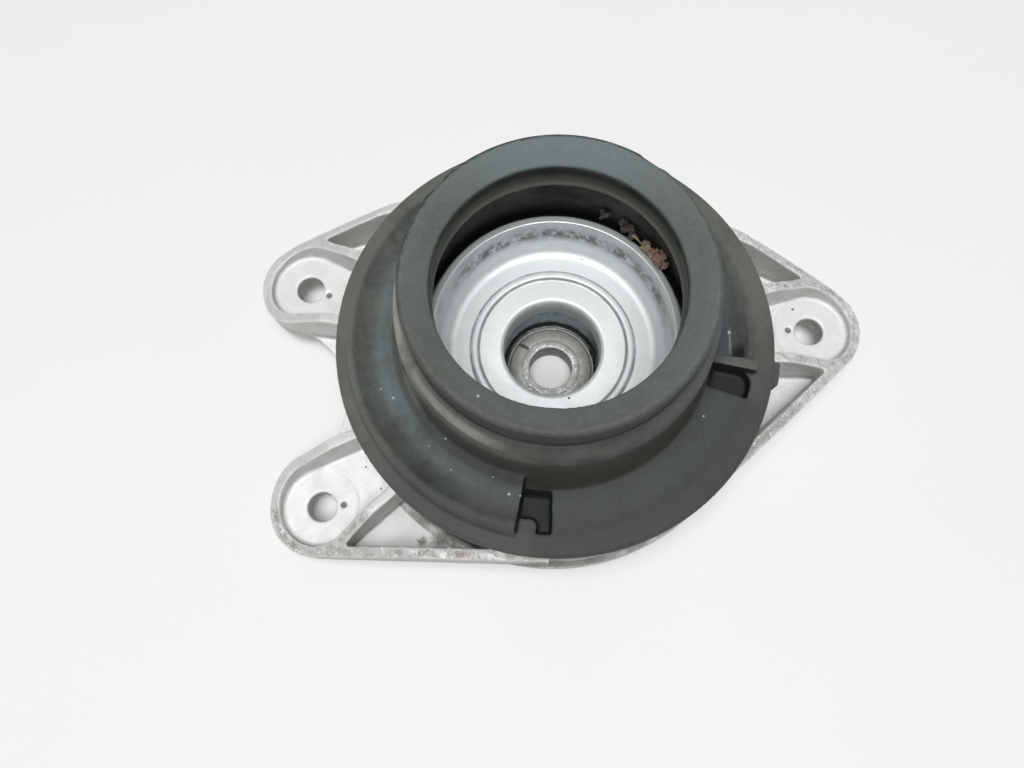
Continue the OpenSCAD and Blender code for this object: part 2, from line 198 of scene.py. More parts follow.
def makeRingGroup():  # where a point lies: millimetres, radius, height and angle round the strut axis
    outputs = [("Place", "NodeSocketVector"), ("Radius", "NodeSocketFloat"), ("Height", "NodeSocketFloat"),
               ("Angle", "NodeSocketFloat"), ("Upward", "NodeSocketFloat")]
    group, _, result = newGroup("ringPlace", [], outputs)
    spot = place(group, "ShaderNodeTexCoord").outputs["Object"]
    scaled = place(group, "ShaderNodeVectorMath", {"operation": "SCALE"}, {0: spot, "Scale": 1 / mm})
    scaled = scaled.outputs[0]
    split = place(group, "ShaderNodeSeparateXYZ", None, {0: scaled})
    flat = place(group, "ShaderNodeCombineXYZ", None, {0: split.outputs[0], 1: split.outputs[1]}).outputs[0]
    radius = place(group, "ShaderNodeVectorMath", {"operation": "LENGTH"}, {0: flat}).outputs["Value"]
    turn = calc(group, "DEGREES", calc(group, "ARCTAN2", split.outputs[1], split.outputs[0]))
    turn = calc(group, "MODULO", calc(group, "ADD", turn, fullTurn), fullTurn)
    normal = place(group, "ShaderNodeNewGeometry").outputs["Normal"]
    upward = place(group, "ShaderNodeSeparateXYZ", None, {0: normal}).outputs[2]
    for key, value in (("Place", scaled), ("Radius", radius), ("Height", split.outputs[2]), ("Angle", turn),
                       ("Upward", upward)):
        group.links.new(value, result.inputs[key])
    return group


def makeBandGroup():  # soft mask of a value between two limits
    inputs = [("Value", "NodeSocketFloat", 0.0), ("Low", "NodeSocketFloat", 0.0),
              ("High", "NodeSocketFloat", 1.0), ("Soft", "NodeSocketFloat", 0.1)]
    group, source, result = newGroup("softBand", inputs, [("Mask", "NodeSocketFloat")])
    value, low, high, soft = (source.outputs[i] for i in range(4))
    rise = remap(group, value, calc(group, "SUBTRACT", low, soft), calc(group, "ADD", low, soft))
    fall = remap(group, value, calc(group, "SUBTRACT", high, soft), calc(group, "ADD", high, soft), 1.0, 0.0)
    group.links.new(calc(group, "MULTIPLY", rise, fall), result.inputs["Mask"])
    return group


def makeSpeckGroup():  # rare round specks scattered over a surface
    inputs = [("Place", "NodeSocketVector", None), ("Spacing", "NodeSocketFloat", 8.0),
              ("Size", "NodeSocketFloat", 0.06), ("Share", "NodeSocketFloat", 0.2)]
    group, source, result = newGroup("straySpecks", inputs, [("Mask", "NodeSocketFloat")])
    scale = calc(group, "DIVIDE", 1.0, source.outputs["Spacing"])
    cells = place(group, "ShaderNodeTexVoronoi", None, {"Vector": source.outputs["Place"], "Scale": scale})
    size = source.outputs["Size"]
    core = calc(group, "MULTIPLY", size, effectShape["speckCore"])
    near = remap(group, cells.outputs["Distance"], core, size, 1.0, 0.0)
    pick = place(group, "ShaderNodeSeparateColor", None, {0: cells.outputs["Color"]}).outputs[0]
    chosen = calc(group, "LESS_THAN", pick, source.outputs["Share"])
    group.links.new(calc(group, "MULTIPLY", near, chosen), result.inputs["Mask"])
    return group


def makeGrainGroup():  # fine relief and smudges at two scales
    inputs = [("Place", "NodeSocketVector", None), ("Fine", "NodeSocketFloat", 2.0),
              ("Coarse", "NodeSocketFloat", 0.15)]
    outputs = [("Relief", "NodeSocketFloat"), ("Smudge", "NodeSocketFloat")]
    group, source, result = newGroup("surfaceGrain", inputs, outputs)
    where = source.outputs["Place"]
    relief = cloud(group, where, source.outputs["Fine"], *effectShape["relief"])
    smudge = cloud(group, where, source.outputs["Coarse"], *effectShape["smudge"])
    group.links.new(relief, result.inputs["Relief"])
    group.links.new(smudge, result.inputs["Smudge"])
    return group


def makeSectorGroup():  # soft mask of a stretch of angle, counted through zero
    inputs = [("Angle", "NodeSocketFloat", 0.0), ("Middle", "NodeSocketFloat", 0.0),
              ("Half", "NodeSocketFloat", 10.0), ("Soft", "NodeSocketFloat", 2.0)]
    group, source, result = newGroup("angleSector", inputs, [("Mask", "NodeSocketFloat")])
    angle, middle, half, soft = (source.outputs[i] for i in range(4))
    turned = calc(group, "ADD", calc(group, "SUBTRACT", angle, middle), 1.5 * fullTurn)
    turned = calc(group, "MODULO", turned, fullTurn)
    gapShade = calc(group, "ABSOLUTE", calc(group, "SUBTRACT", turned, fullTurn / 2))
    mask = remap(group, gapShade, calc(group, "SUBTRACT", half, soft), calc(group, "ADD", half, soft), 1.0, 0.0)
    group.links.new(mask, result.inputs["Mask"])
    return group


def makeSpotGroup():  # one mark with a ragged edge
    inputs = [("Place", "NodeSocketVector", None), ("Centre", "NodeSocketVector", None),
              ("Size", "NodeSocketFloat", 1.0), ("Ragged", "NodeSocketFloat", 0.5),
              ("Core", "NodeSocketFloat", 0.7)]
    group, source, result = newGroup("raggedSpot", inputs, [("Mask", "NodeSocketFloat")])
    where, centre, size, ragged, core = (source.outputs[i] for i in range(5))
    away = place(group, "ShaderNodeVectorMath", {"operation": "DISTANCE"}, {0: where, 1: centre})
    away = away.outputs["Value"]
    wave = calc(group, "SUBTRACT", cloud(group, where, *effectShape["spotEdge"]), 0.5)
    wave = calc(group, "MULTIPLY", wave, ragged)
    edge = calc(group, "ADD", away, calc(group, "MULTIPLY", wave, size))
    mask = remap(group, edge, calc(group, "MULTIPLY", size, core), size, 1.0, 0.0)
    group.links.new(mask, result.inputs["Mask"])
    return group


ringGroup = makeRingGroup()
bandGroup = makeBandGroup()
speckGroup = makeSpeckGroup()
grainGroup = makeGrainGroup()
sectorGroup = makeSectorGroup()
spotGroup = makeSpotGroup()


def band(tree, value, low, high, soft):
    return useGroup(tree, bandGroup, Value=value, Low=low, High=high, Soft=soft).outputs["Mask"]


def sector(tree, angle, middle, half, soft):
    return useGroup(tree, sectorGroup, Angle=angle, Middle=middle, Half=half, Soft=soft).outputs["Mask"]


def within(tree, value, limits):  # two limits are a slope, a third makes a band with soft ends
    return remap(tree, value, *limits) if len(limits) == 2 else band(tree, value, *limits)


def product(tree, *masks):
    made = masks[0]
    for mask in masks[1:]:
        made = calc(tree, "MULTIPLY", made, mask)
    return made


def highest(tree, *masks):
    made = masks[0]
    for mask in masks[1:]:
        made = calc(tree, "MAXIMUM", made, mask)
    return made


def without(tree, mask, share=1.0, whole=1.0):  # what is left beside a mask
    return calc(tree, "SUBTRACT", whole, product(tree, mask, share))


def spots(tree, where, marks, ragged, core=0.7):  # marks are places in millimetres with a size
    made = []
    for x, y, z, size in marks:
        values = {"Place": where, "Centre": (x, y, z), "Size": size, "Ragged": ragged, "Core": core}
        made.append(useGroup(tree, spotGroup, **values).outputs["Mask"])
    return highest(tree, *made)


def paint(tree, look, colour, *layers):  # a layer is a colour's name, the masks that limit it and a share
    for name, *masks in layers:
        colour = tint(tree, product(tree, *masks), colour, look[name])
    return colour


def bump(tree, shader, height, strength, depth):
    made = place(tree, "ShaderNodeBump", None,
                 {"Strength": strength, "Distance": depth * mm, "Height": height})
    tree.links.new(made.outputs["Normal"], shader.inputs["Normal"])


# a material with masks by the names in its look: turns have middle, half and softness in degrees, rings and
# levels have limits in millimetres, smears have smudge limits and shares, patches have a noise and its limits
def startSurface(name, look, **sockets):
    material, tree, shader = newMaterial(name, **sockets)
    where = useGroup(tree, ringGroup).outputs
    grain = useGroup(tree, grainGroup, Place=where["Place"], Fine=look["fine"], Coarse=look["coarse"]).outputs

    def turn(key):
        return sector(tree, where["Angle"], *look["turns"][key])

    def ring(key):
        return within(tree, where["Radius"], look["rings"][key])

    def level(key):
        return within(tree, where["Height"], look["levels"][key])

    def smear(key):
        return remap(tree, grain["Smudge"], *look["smears"][key])

    def patch(key):
        noiseKind, share = look["patches"][key]
        return remap(tree, cloud(tree, where["Place"], *noiseKind), *share)

    return SimpleNamespace(material=material, tree=tree, shader=shader, spot=where["Place"],
                           radius=where["Radius"], height=where["Height"], upward=where["Upward"],
                           relief=grain["Relief"], smudge=grain["Smudge"], turn=turn, ring=ring, level=level,
                           smear=smear, patch=patch)


def finishSurface(skin, colour, rough, height, strength, depth):
    skin.tree.links.new(colour, skin.shader.inputs["Base Color"])
    skin.tree.links.new(rough, skin.shader.inputs["Roughness"])
    bump(skin.tree, skin.shader, height, strength, depth)
    return skin.material


print("shader groups ready")


# cast aluminium of the bracket

castLook = {
    "clean": rgb(0.76, 0.77, 0.765), "dull": rgb(0.63, 0.64, 0.63), "wall": rgb(0.54, 0.54, 0.515),
    "rim": rgb(0.59, 0.595, 0.58), "corroded": rgb(0.36, 0.355, 0.335), "brown": rgb(0.30, 0.26, 0.23),
    "dark": rgb(0.13, 0.12, 0.105), "bright": rgb(0.86, 0.87, 0.865), "foot": rgb(0.15, 0.15, 0.138),
    "fine": 1.6, "coarse": 0.16, "metal": 0.15, "upward": (0.35, 0.8),
    "singleShare": 0.75, "everywhere": 0.22,
    "across": {"pocket": (-52.0, -24.0, 6.0), "front": (8.0, -4.0), "single": (48.0, 60.0),
               "strip": (50.0, 77.0, 5.0), "middle": (-4.0, 34.0, 6.0)},
    "along": {"pocket": (-44.0, -50.0), "front": (-48.0, -56.0), "strip": (-8.0, -13.0),
              "middle": (-54.0, -58.0), "wall": (-57.0, -61.0), "drum": (-46.0, -54.0)},
    "rings": {"foot": (55.0, 63.0, 0.4), "drum": (55.0, 61.0, 0.4)},
    "levels": {"rim": (13.2, 14.0), "pocket": (13.2, 12.6), "crevice": (13.8, 12.3), "foot": (13.0, 10.0),
               "drum": (27.0, 24.0)},
    "smears": {"dull": (0.42, 0.68, 0.0, 0.45), "wall": (0.3, 0.65, 0.62, 0.95),
               "crevice": (0.3, 0.6, 0.1, 0.35), "foot": (0.3, 0.6, 0.45, 0.9),
               "rubbed": (0.35, 0.6, 0.2, 0.6), "rough": (0.3, 0.7, 0.44, 0.58)},
    "patches": {"mottle": ((0.55, 5.0, 0.7), (0.5, 0.68, 0.0, 0.35)),
                "eaten": ((0.42, 6.0, 0.7, 0.6), (0.46, 0.60)), "rust": ((0.16, 4.0, 0.6), (0.47, 0.6)),
                "pits": ((1.0, 5.0, 0.68), (0.60, 0.68)), "flakes": ((0.8, 5.0, 0.7, 0.4), (0.56, 0.63))},
    "dimpleShade": [(72.9, 17.9, 11.3, 1.25), (-73.0, 16.6, 11.3, 1.25), (-57.5, -49.3, 11.3, 1.25)],
    "grime": [(-27.5, -56.6, 10.2, 4.6), (-33.0, -57.6, 10.2, 2.2), (-55.0, -57.8, 10.2, 3.0)],
    "dots": [(74.3, 25.0, 12.4, 0.6), (-47.0, -43.5, 12.3, 0.45), (-52.5, -37.5, 12.3, 0.4),
             (-45.2, -48.5, 12.3, 0.4)],
}


def makeCastAluminium():
    look = castLook
    skin = startSurface("castAluminium", look, Metallic=look["metal"])
    tree = skin.tree
    xyz = place(tree, "ShaderNodeSeparateXYZ", None, {0: skin.spot}).outputs

    def across(key):
        return within(tree, xyz[0], look["across"][key])

    def along(key):
        return within(tree, xyz[1], look["along"][key])

    top = remap(tree, skin.upward, *look["upward"])
    standing = without(tree, top)
    rim = product(tree, skin.level("rim"), top)
    wear = place(tree, "ShaderNodeAttribute", {"attribute_name": "edgeWear"}).outputs["Fac"]
    # corrosion on the rims, strongest along the front edge and beside the single ear
    front = product(tree, along("front"), across("front"))
    single = product(tree, across("single"), look["singleShare"])
    strip = product(tree, across("strip"), along("strip"))
    share = calc(tree, "ADD", highest(tree, front, single, strip), look["everywhere"], True)
    blotch, pits, flakes = (product(tree, skin.patch(key), share, rim) for key in ("eaten", "pits", "flakes"))
    colour = tint(tree, skin.smear("dull"), look["clean"], look["dull"])
    colour = paint(tree, look, colour, ("dull", skin.patch("mottle")), ("rim", rim),
                   ("rim", across("pocket"), along("pocket"), top, skin.level("pocket"), 0.7),
                   ("corroded", front, rim, 0.35), ("foot", strip, rim, 0.6), ("corroded", blotch, 0.85),
                   ("corroded", along("middle"), across("middle"), top, 0.85),
                   ("brown", skin.patch("rust"), front, rim, 0.6), ("dark", pits, 0.7),
                   ("bright", flakes, 0.75))
    # standing walls are painted darker as shade, mottled by smudges; painted shade also in the crevices at
    # their foot, low down under the pad's edge and on the drum under the pad
    drum = product(tree, along("drum"), skin.ring("drum"), standing, skin.level("drum"))
    foot = highest(tree, product(tree, skin.ring("foot"), skin.level("foot")), drum)
    # the dimples are painted dark as shade in their pits; the dots and grime are dark marks
    marks = highest(tree, spots(tree, skin.spot, look["dimpleShade"], 0.3),
                    spots(tree, skin.spot, look["dots"], 0.8),
                    spots(tree, skin.spot, look["grime"], 1.5, 0.1))
    colour = paint(tree, look, colour, ("wall", standing, skin.smear("wall")),
                   ("corroded", standing, along("wall"), 0.75),
                   ("foot", standing, skin.level("crevice"), skin.smear("crevice")),
                   ("foot", foot, skin.smear("foot")), ("bright", wear, skin.smear("rubbed")),
                   ("dark", marks, 0.9))
    rough = calc(tree, "ADD", skin.smear("rough"), product(tree, blotch, 0.15))
    uneven = calc(tree, "ADD", product(tree, blotch, -0.5), product(tree, pits, -0.8))
    uneven = calc(tree, "ADD", product(tree, skin.relief, 0.6), uneven)
    return finishSurface(skin, colour, rough, uneven, 0.5, 0.3)


# black rubber of the spring pad

padLook = {
    "base": rgb(0.05, 0.052, 0.049), "film": rgb(0.100, 0.110, 0.106), "brown": rgb(0.122, 0.110, 0.094),
    "blueFilmAndSheen": rgb(0.125, 0.155, 0.156), "lip": rgb(0.122, 0.140, 0.139), "sky": rgb(0.175, 0.210, 0.214),
    "dust": rgb(0.385, 0.375, 0.33), "neck": rgb(0.040, 0.038, 0.033), "outer": rgb(0.138, 0.138, 0.124),
    "shadeBlack": rgb(0.011, 0.012, 0.011), "mouth": rgb(0.102, 0.098, 0.085), "pocket": rgb(0.017, 0.019, 0.017),
    "edge": rgb(0.016, 0.018, 0.018), "leeShadeTone": rgb(0.028, 0.031, 0.029), "start": rgb(0.040, 0.056, 0.070),
    "wet": rgb(0.26, 0.30, 0.31), "speck": rgb(0.46, 0.48, 0.46),
    "fine": 2.2, "coarse": 0.11, "gloss": 0.2, "standing": (0.6, 0.2),
    "tearNoise": (0.5, 4.0, 0.65), "tearDepth": 1.8, "tearRing": (35.7, 36.8),
    "turns": {"left": (200.0, 62.0, 18.0), "front": (292.0, 70.0, 20.0), "lipBack": (92.0, 38.0, 30.0),
              "lipWorn": (258.0, 62.0, 22.0), "channel": (204.0, 54.0, 16.0), "lee": (307.0, 41.0, 6.0),
              "ramp": (257.0, 8.0, 5.0), "stopTop": (353.5, 6.0, 2.0), "broad": (178.0, 38.0, 18.0),
              "ridge": (214.0, 40.0, 9.0), "stepPocket": (269.4, 5.3, 0.35), "stopPocket": (349.0, 4.4, 0.35),
              "stepFace": (264.7, 0.45, 0.15), "stopFace": (352.9, 0.45, 0.15), "start": (8.0, 11.0, 6.0),
              "wedge": (358.6, 3.0, 2.2), "wet": (3.4, 3.2, 2.4), "torn": (115.0, 62.0, 14.0),
              "skirt": (272.0, 50.0, 15.0)},
    "rings": {"lipWorn": (32.6, 35.2), "outer": (53.6, 55.4), "channel": (42.6, 49.0, 1.8),
              "seat": (45.0, 52.0, 2.5), "ramp": (48.4, 53.0, 0.8), "stopTop": (46.0, 56.0, 1.0),
              "neck": (44.5, 43.4), "shoulder": (36.6, 37.4), "foot": (42.8, 41.8),
              "pocket": (41.5, 54.9, 0.4), "start": (45.2, 48.4, 0.5), "wedge": (49.3, 52.0, 0.3),
              "wet": (48.5, 48.9, 0.25), "groove": (34.0, 37.4, 0.2), "bore": (37.3, 37.0),
              "mouth": (31.1, 30.7), "lipSide": (36.4, 36.9), "skirt": (59.5, 59.9)},
    "levels": {"lip": (70.0, 70.8), "stopTop": (42.0, 42.5), "neck": (41.0, 62.0, 2.2),
               "shoulder": (60.5, 68.6, 1.6), "ridge": (64.9, 68.4, 0.9), "foot": (46.0, 60.0, 3.0),
               "pocketFloor": (40.1, 39.7), "pocketTop": (48.5, 47.0), "wedge": (40.2, 39.4),
               "groove": (68.9, 70.3, 0.25), "bore": (66.6, 65.9), "mouth": (66.4, 74.3, 0.3),
               "mouthEdge": (68.4, 67.0), "mouthTop": (68.9, 71.6), "skirt": (39.3, 38.7)},
    "smears": {"film": (0.28, 0.68, 0.1, 0.8), "lip": (0.25, 0.7, 0.65, 1.0), "outer": (0.3, 0.6, 0.55, 1.0),
               "blueFilmAndSheen": (0.32, 0.62, 0.35, 1.0), "shoulder": (0.32, 0.6, 0.3, 1.0),
               "foot": (0.35, 0.6, 0.2, 1.0), "rough": (0.3, 0.7, 0.5, 0.68)},
    "patches": {"powder": ((0.9, 4.0, 0.7), (0.42, 0.75)), "stain": ((0.06, 4.0, 0.6, 0.5), (0.46, 0.62))},
    "stray": {"Spacing": 9.0, "Size": 0.04, "Share": 0.12},
    "specks": [(-40.7, -23.2, 43.5, 0.36), (-23.0, -40.9, 44.4, 0.22), (-29.4, -35.3, 44.3, 0.2),
               (-25.1, -33.4, 46.6, 0.3), (-12.0, -41.9, 46.0, 0.22), (-7.6, -45.7, 45.1, 0.4),
               (-4.7, -45.9, 45.2, 0.3), (48.4, 5.6, 37.4, 0.5), (41.4, -19.7, 40.3, 0.3),
               (-15.1, -29.3, 76.8, 0.45)],
}


def makePadRubber():
    look = padLook
    skin = startSurface("padRubber", look, **{"Specular IOR Level": look["gloss"]})
    tree, turn, ring, level, smear = skin.tree, skin.turn, skin.ring, skin.level, skin.smear
    front, lip = turn("front"), level("lip")
    low = without(tree, lip)
    colour = tint(tree, smear("film"), look["base"], look["film"])
    # the back of the lip gets a painted sky reflection
    colour = paint(tree, look, colour, ("lip", lip, smear("lip")), ("sky", lip, turn("lipBack"), 0.6),
                   ("mouth", lip, ring("lipWorn"), turn("lipWorn"), 0.6), ("dust", skin.patch("powder"), 0.1),
                   ("brown", skin.patch("stain"), low, without(tree, front, 0.25, 0.6)))
    # dusty outer band; bluish channel and seat, where the blue also stands for a painted sky sheen; painted
    # shade past the step and across the front; painted shade on the neck, less on the left
    channel = product(tree, ring("channel"), turn("channel"))
    seat = product(tree, ring("seat"), front, 0.42)
    # the bluish film of the channel and seat also carries a painted sky sheen
    blueFilmAndSheen = product(tree, highest(tree, channel, seat), low, smear("blueFilmAndSheen"))
    lee = highest(tree, product(tree, turn("lee"), 0.6), product(tree, front, 0.4))
    ramp = product(tree, turn("ramp"), ring("ramp"), low, 0.4)
    stopTop = product(tree, turn("stopTop"), level("stopTop"), low, ring("stopTop"), 0.5)
    colour = paint(tree, look, colour,
                   ("outer", ring("outer"), low, without(tree, front, 0.5, 0.85), smear("outer")),
                   ("blueFilmAndSheen", blueFilmAndSheen), ("leeShadeTone", lee, low), ("outer", highest(tree, ramp, stopTop)),
                   # painted shade on the neck, half as strong on the lit left side
                   ("neck", level("neck"), ring("neck"), without(tree, turn("left"), 0.5), 0.85))
    # dust on the shoulder, drawn out to a ridge, and at the foot of the neck; it is strongest on the left,
    # where it is partly painted light
    broad = turn("broad")
    ridge = product(tree, level("ridge"), turn("ridge"), 0.62)
    side = highest(tree, product(tree, highest(tree, broad, ridge), 0.9), product(tree, front, 0.1))
    shoulder = product(tree, level("shoulder"), ring("shoulder"), side, smear("shoulder"))
    foot = product(tree, level("foot"), ring("foot"), broad, 0.55, smear("foot"))
    # painted shade in the pockets; the channel's start beside the stop is bluish, with a black wedge of
    # painted shade and a painted highlight along a wet line
    faces = highest(tree, turn("stepFace"), turn("stopFace"))
    pocket = product(tree, highest(tree, turn("stepPocket"), turn("stopPocket")),
                     highest(tree, faces, level("pocketFloor")), ring("pocket"), level("pocketTop"))
    wedge = product(tree, turn("wedge"), ring("wedge"), level("wedge"))
    colour = paint(tree, look, colour, ("dust", highest(tree, shoulder, foot)),
                   ("start", turn("start"), ring("start"), 0.7), ("pocket", highest(tree, pocket, wedge)),
                   ("shadeBlack", pocket, turn("stepPocket"), 0.75), ("wet", turn("wet"), ring("wet"), 0.7))
    # mouth, with a painted shadow line under its top edge; painted shade at the torn edge and the side of the
    # lip, in the groove and the bore, and on the side of the pad's edge
    mouth = product(tree, ring("mouth"), level("mouth"))
    wave = calc(tree, "SUBTRACT", cloud(tree, skin.spot, *look["tearNoise"]), 0.5)
    ragged = calc(tree, "ADD", skin.radius, product(tree, wave, look["tearDepth"]))
    torn = calc(tree, "ADD", product(tree, turn("torn"), 0.55), 0.4)
    standing = remap(tree, skin.upward, *look["standing"])
    groove = product(tree, level("groove"), ring("groove"), 0.9)
    colour = paint(tree, look, colour, ("mouth", mouth, 0.9), ("dust", mouth, level("mouthEdge"), 0.25),
                   ("shadeBlack", mouth, level("mouthTop")),
                   ("edge", lip, remap(tree, ragged, *look["tearRing"]), torn),
                   ("edge", lip, ring("lipSide"), standing, 0.7),
                   ("shadeBlack", highest(tree, groove, product(tree, ring("bore"), level("bore")))),
                   ("edge", level("skirt"), ring("skirt"), turn("skirt"), 0.9))
    stray = useGroup(tree, speckGroup, Place=skin.spot, **look["stray"]).outputs["Mask"]
    specks = highest(tree, product(tree, stray, 0.6), spots(tree, skin.spot, look["specks"], 0.8))
    colour = paint(tree, look, colour, ("speck", specks))
    rough = calc(tree, "SUBTRACT", smear("rough"), product(tree, blueFilmAndSheen, 0.16))
    return finishSurface(skin, colour, rough, calc(tree, "ADD", skin.relief, skin.smudge), 0.35, 0.25)


# zinc plate of the bump stop cup

zincLook = {
    "bright": rgb(0.87, 0.905, 0.91), "grey": rgb(0.69, 0.725, 0.73), "lip": rgb(0.80, 0.835, 0.845),
    "smudge": rgb(0.15, 0.16, 0.16), "beadShadeLine": rgb(0.24, 0.26, 0.265), "speck": rgb(0.04, 0.04, 0.04),
    "fine": 2.5, "coarse": 0.2, "metal": 0.35,
    "turns": {"near": (270.0, 45.0, 25.0), "back": (85.0, 68.0, 16.0)},
    "rings": {"lip": (33.3, 33.7), "bend": (34.0, 33.6), "beadOut": (23.39, 24.11, 0.2),
              "beadIn": (21.01, 21.69, 0.2)},
    "levels": {"wall": (33.0, 40.6, 1.0), "lip": (40.9, 41.3), "near": (31.0, 29.0),
               "dirt": (34.4, 38.6, 1.5), "bead": (30.0, 29.2), "bend": (40.6, 41.1)},
    "smears": {"grey": (0.35, 0.7, 0.0, 0.35), "lip": (0.3, 0.6, 0.5, 1.0), "bead": (0.3, 0.6, 0.45, 0.8),
               "rough": (0.3, 0.7, 0.4, 0.52)},
    "patches": {"streak": ((0.3, 7.0, 0.76), (0.38, 0.57)), "haze": ((0.12, 4.0, 0.6), (0.42, 0.62))},
    "stray": {"Spacing": 6.0, "Size": 0.045, "Share": 0.12},
    "specks": [(6.0, -14.7, 28.0, 0.42), (6.5, 28.5, 28.4, 0.35), (-28.3, -0.4, 30.0, 0.4),
               (25.5, -2.7, 28.4, 0.32), (28.0, -4.9, 30.6, 0.4), (27.2, -3.3, 29.6, 0.34),
               (-26.0, 9.0, 28.2, 0.25)],
}


def makeZincPlate():
    look = zincLook
    skin = startSurface("zincPlate", look, Metallic=look["metal"])
    tree, ring, level, smear = skin.tree, skin.ring, skin.level, skin.smear
    wall = level("wall")
    # smears of dirt across the back of the wall, and painted shade along both sides of the bead
    dirt = product(tree, level("dirt"), skin.turn("back"), skin.patch("streak"), 0.95)
    haze = product(tree, wall, skin.patch("haze"), 0.3)
    beadFootShade = product(tree, level("bead"), smear("bead"))
    stray = useGroup(tree, speckGroup, Place=skin.spot, **look["stray"]).outputs["Mask"]
    specks = highest(tree, product(tree, stray, 0.7), spots(tree, skin.spot, look["specks"], 0.5))
    colour = tint(tree, smear("grey"), look["bright"], look["grey"])
    colour = paint(tree, look, colour, ("grey", wall, 0.75), ("lip", level("lip"), ring("lip"), smear("lip")),
                   ("grey", skin.turn("near"), level("near"), 0.4), ("smudge", highest(tree, dirt, haze)),
                   ("beadShadeLine", ring("beadOut"), beadFootShade), ("beadShadeLine", ring("beadIn"), beadFootShade), ("speck", specks))
    polished = product(tree, level("bend"), ring("bend"), 0.1)  # bend of the rim
    rough = calc(tree, "ADD", smear("rough"), product(tree, wall, 0.04))
    return finishSurface(skin, colour, calc(tree, "SUBTRACT", rough, polished), skin.relief, 0.2, 0.08)


# steel core of the bush, worn round its hole

coreLook = {
    "steel": rgb(0.47, 0.465, 0.445), "stain": rgb(0.29, 0.285, 0.265), "worn": rgb(0.86, 0.87, 0.86),
    "gapShade": rgb(0.06, 0.055, 0.05), "rust": rgb(0.085, 0.06, 0.05), "fine": 3.0, "coarse": 0.4, "metal": 0.35,
    "turns": {"scuffLeft": (225.0, 50.0, 25.0), "scuffFront": (300.0, 35.0, 17.5),
              "scuffBack": (130.0, 22.0, 11.0), "scuffRight": (20.0, 25.0, 12.5)},
    "rings": {"seat": (6.8, 9.6, 0.6), "rimLine": (6.7, 7.25, 0.15), "gapShade": (12.55, 13.1, 0.12),
              "bore": (6.95, 6.8)},
    "levels": {"gapShade": (6.5, 7.2), "bore": (8.1, 7.6)}, "unscuffed": 0.15,
    "smears": {"stain": (0.44, 0.68, 0.0, 0.6), "rimLine": (0.35, 0.6, 0.0, 0.8),
               "rough": (0.3, 0.7, 0.42, 0.6)},
    "patches": {"scuff": ((0.5, 6.0, 0.7, 2.2), (0.50, 0.58))},
    "rustMarks": [(-10.3, 6.9, 7.9, 0.8), (-9.4, 6.6, 7.9, 0.85), (-8.5, 6.2, 7.9, 0.8),
                  (-7.9, 5.8, 7.9, 0.6)],
}


def makeCoreSteel():
    look = coreLook
    skin = startSurface("coreSteel", look, Metallic=look["metal"])
    tree = skin.tree
    scuff = skin.patch("scuff")
    # seat is rubbed bright in broken stretches
    worn = highest(tree, *[skin.turn(key) for key in look["turns"]])
    seat = product(tree, skin.ring("seat"), scuff, remap(tree, worn, 0.0, 1.0, look["unscuffed"], 1.0))
    bright = highest(tree, seat, product(tree, skin.ring("rimLine"), skin.smear("rimLine")))
    # painted shade in the groove near the edge of the face and down inside the hole
    gapShade, bore = (product(tree, skin.ring(key), skin.level(key)) for key in ("gapShade", "bore"))
    colour = tint(tree, skin.smear("stain"), look["steel"], look["stain"])
    colour = paint(tree, look, colour, ("worn", bright, 0.9), ("gapShade", highest(tree, gapShade, bore), 0.85),
                   ("rust", spots(tree, skin.spot, look["rustMarks"], 0.8), 0.85))
    rough = calc(tree, "SUBTRACT", skin.smear("rough"), product(tree, bright, 0.15))
    return finishSurface(skin, colour, rough, calc(tree, "ADD", skin.relief, scuff), 0.4, 0.15)


# rubber of the bush, with a dusty film on its upper part, its brightness partly painted light

bushLook = {
    "base": rgb(0.020, 0.023, 0.023), "film": rgb(0.44, 0.53, 0.55), "fine": 2.0, "coarse": 0.35,
    "filmEdge": (10.2, 12.4), "filmWave": 2.4, "turns": {"wet": (345.0, 55.0, 12.0)},
    "smears": {"film": (0.3, 0.6, 0.6, 1.0), "rough": (0.3, 0.7, 0.22, 0.38)},
}


def makeBushRubber():
    look = bushLook
    skin = startSurface("bushRubber", look)
    tree = skin.tree
    uneven = calc(tree, "ADD", skin.height, product(tree, skin.smudge, look["filmWave"]))
    film = remap(tree, uneven, *look["filmEdge"])
    film = product(tree, film, skin.smear("film"), without(tree, skin.turn("wet"), 0.85))
    rough = calc(tree, "ADD", skin.smear("rough"), product(tree, film, 0.3))
    return finishSurface(skin, tint(tree, film, look["base"], look["film"]), rough, skin.smudge, 0.6, 0.35)


# steel sleeve of the bush

shellLook = {
    "steel": rgb(0.45, 0.45, 0.46), "dark": rgb(0.25, 0.25, 0.25), "fine": 3.0, "coarse": 0.3, "metal": 0.9,
    "smears": {"dark": (0.4, 0.7), "rough": (0.3, 0.7, 0.35, 0.55)},
}


def makeShellSteel():
    look = shellLook
    skin = startSurface("shellSteel", look, Metallic=look["metal"])
    colour = tint(skin.tree, skin.smear("dark"), look["steel"], look["dark"])
    return finishSurface(skin, colour, skin.smear("rough"), skin.relief, 0.2, 0.1)


# dry leaf caught between cup and collar

leafLook = {
    "pinkLeaf": (rgb(0.62, 0.42, 0.36), rgb(0.30, 0.19, 0.15)),
    "strawLeaf": (rgb(0.66, 0.60, 0.42), rgb(0.38, 0.32, 0.20)),
    "greyLeaf": (rgb(0.20, 0.175, 0.16), rgb(0.075, 0.065, 0.06)),
}
leafGrain = {"noise": (0.8, 4.0, 0.65), "share": (0.4, 0.62), "roughness": 0.75}


